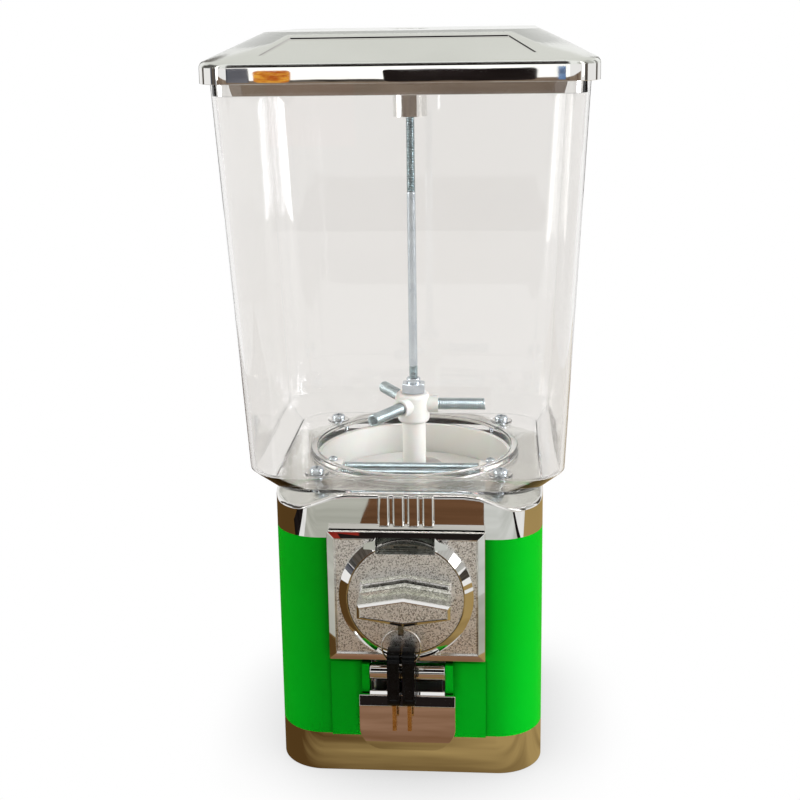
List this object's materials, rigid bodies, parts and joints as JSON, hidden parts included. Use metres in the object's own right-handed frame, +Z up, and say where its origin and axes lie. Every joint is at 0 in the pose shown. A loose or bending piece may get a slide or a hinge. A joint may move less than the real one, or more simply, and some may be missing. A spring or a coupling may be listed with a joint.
{
  "type": "gumball machine",
  "caption": "Coin-operated gumball machine: clear tapered globe with a hipped chrome lid on a green square body, with knob, coin plate, chute door, agitator and hanging keys.",
  "frame": {"origin": "middle of the base, on the surface that the machine stands on", "axes": "+Z up, -Y out of the coin plate (the front), +X to the right as seen from the front"},
  "size_m": [0.195, 0.1985, 0.4],
  "materials": {
    "polished_chrome": "mirror plating on a cast or moulded part",
    "stippled_chrome": "plated casting with a fine stipple",
    "green_body": "satin gloss moulding",
    "clear_globe": "clear, polished",
    "white_plastic": "milky moulding",
    "zinc_steel": "bright zinc plating",
    "spring_steel": "wound wire",
    "black_plastic": "glossy moulding",
    "brass": "bright cut brass"
  },
  "bodies": {
    "casing": {"base_band": "polished_chrome", "base_screw_1": "zinc_steel", "base_screw_2": "zinc_steel", "base_screw_3": "zinc_steel", "base_screw_4": "zinc_steel", "body_shell": "green_body", "bottom_plate": "zinc_steel", "chute": "white_plastic", "coin_plate": "polished_chrome", "collar": "polished_chrome", "door_pin": "zinc_steel", "globe": "clear_globe", "globe_screw_1": "zinc_steel", "globe_screw_2": "zinc_steel", "globe_screw_3": "zinc_steel", "globe_screw_4": "zinc_steel", "guard_screw_left": "zinc_steel", "guard_screw_right": "zinc_steel", "guard_spring_front": "spring_steel", "guard_spring_rear": "spring_steel", "hub_nut": "zinc_steel", "mech_housing": "black_plastic", "pawl_pin": "zinc_steel", "plate_nut_1": "zinc_steel", "plate_nut_2": "zinc_steel", "plate_nut_3": "zinc_steel", "plate_nut_4": "zinc_steel", "rod": "zinc_steel", "rod_nut": "zinc_steel", "wheel_cup": "white_plastic"},
    "lid": {"lid": "polished_chrome", "lock_barrel": "polished_chrome"},
    "lock": {"lock_plug": "polished_chrome"},
    "wheel": {"wheel": "white_plastic", "agitator_hub": "white_plastic", "agitator_spring_1": "spring_steel", "agitator_spring_2": "spring_steel", "agitator_spring_3": "spring_steel"},
    "knob": {"knob": "stippled_chrome", "coin_carrier": "zinc_steel", "knob_shaft": "zinc_steel", "ratchet_wheel": "zinc_steel", "drive_gear": "black_plastic", "shaft_clip": "zinc_steel"},
    "pawl": {"pawl": "zinc_steel"},
    "door": {"chute_door": "polished_chrome"},
    "ring": {"key_ring": "spring_steel"},
    "key_left": {"key_head_left": "black_plastic", "key_blade_left": "brass"},
    "key_right": {"key_head_right": "black_plastic", "key_blade_right": "brass"}
  },
  "joints": [
    {"name": "knob_turn", "type": "hinge", "parent": "casing", "child": "knob", "pos_m": [0, -0.083, 0.1068], "axis": [0, 1, 0], "continuous": true},
    {"name": "wheel_turn", "type": "hinge", "parent": "casing", "child": "wheel", "pos_m": [0, 0, 0.144], "axis": [0, 0, 1], "continuous": true},
    {"name": "lid_lift", "type": "slide", "parent": "casing", "child": "lid", "axis": [0, 0, 1], "range_m": [0, 0.06]},
    {"name": "lock_turn", "type": "hinge", "parent": "lid", "child": "lock", "pos_m": [0, 0, 0.3995], "axis": [0, 0, 1], "range_deg": [0, 90]},
    {"name": "door_swing", "type": "hinge", "parent": "casing", "child": "door", "pos_m": [0, -0.0765, 0.0605], "axis": [-1, 0, 0], "range_deg": [0, 65]},
    {"name": "ring_swing", "type": "hinge", "parent": "knob", "child": "ring", "pos_m": [-0.002, -0.0915, 0.0932], "axis": [-1, 0, 0], "range_deg": [0, 65]},
    {"name": "key_left_swing", "type": "hinge", "parent": "ring", "child": "key_left", "pos_m": [-0.006, -0.0915, 0.07466], "axis": [-1, 0, 0], "range_deg": [0, 10]},
    {"name": "key_right_swing", "type": "hinge", "parent": "ring", "child": "key_right", "pos_m": [0.002, -0.0915, 0.07466], "axis": [-1, 0, 0], "range_deg": [0, 10]},
    {"name": "pawl_lift", "type": "hinge", "parent": "casing", "child": "pawl", "pos_m": [0.017, -0.0645, 0.1208], "axis": [0, 1, 0], "range_deg": [0, 8]}
  ],
  "couplings": [
    {"joint": "wheel_turn", "follows": "knob_turn", "ratio": 0.33333},
    {"joint": "ring_swing", "follows": "door_swing", "ratio": 1}
  ]
}
